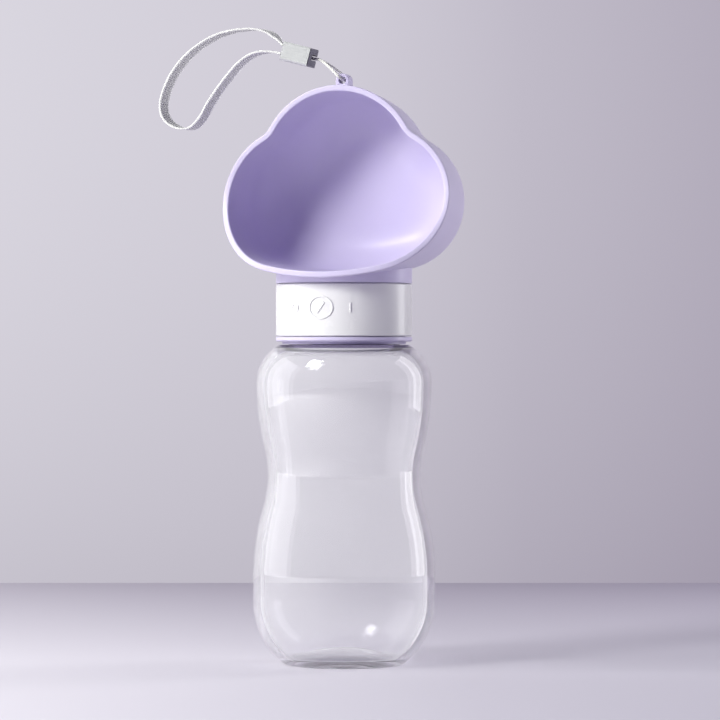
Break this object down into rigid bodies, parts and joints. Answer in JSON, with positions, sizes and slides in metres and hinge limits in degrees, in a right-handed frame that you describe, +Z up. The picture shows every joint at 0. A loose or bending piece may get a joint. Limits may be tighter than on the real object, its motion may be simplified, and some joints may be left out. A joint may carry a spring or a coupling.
{
  "type": "dog travel water bottle",
  "caption": "Waisted clear bottle with a twist-lock valve lid and a cloud-shaped drinking cup above it, carried by a string, clasp and wrist strap.",
  "frame": {"origin": "centre of the bottle's base, on the surface it stands on", "axes": "+Z up along the bottle's axis, the cup opens towards -Y, +X to the right seen from the cup's front"},
  "size_m": [0.1237, 0.0766, 0.2671],
  "materials": {
    "clear_plastic": "clear gloss",
    "lavender_plastic": "soft satin",
    "white_plastic": "satin gloss",
    "silicone": "matte translucent",
    "screw_steel": "bright",
    "dark_plastic": "matte",
    "string_cord": "twisted cord",
    "strap_webbing": "woven webbing"
  },
  "bodies": {
    "bottle": {"bottle": "clear_plastic"},
    "seal": {"neck_gasket": "silicone"},
    "lid": {"lid_base": "lavender_plastic", "seat_gasket": "silicone", "port_seal": "silicone", "valve_cap": "lavender_plastic", "centre_screw": "screw_steel", "cup": "lavender_plastic", "lanyard_string": "string_cord", "clasp_insert": "dark_plastic", "clasp_sleeve": "white_plastic", "wrist_strap": "strap_webbing"},
    "collar": {"lock_collar": "white_plastic", "valve_rotor": "white_plastic"}
  },
  "joints": [
    {"name": "lid_lift", "type": "slide", "parent": "bottle", "child": "seal", "axis": [0, 0, 1], "range_m": [0, 0.0105]},
    {"name": "lid_turn", "type": "hinge", "parent": "seal", "child": "lid", "pos_m": [0, 0, 0.15], "axis": [0, 0, 1], "range_deg": [0, 540]},
    {"name": "collar_turn", "type": "hinge", "parent": "lid", "child": "collar", "pos_m": [0, 0, 0.156], "axis": [0, 0, 1], "range_deg": [-25, 25]}
  ],
  "couplings": [
    {"joint": "lid_lift", "follows": "lid_turn", "m_per_rad": 0.0011141}
  ]
}
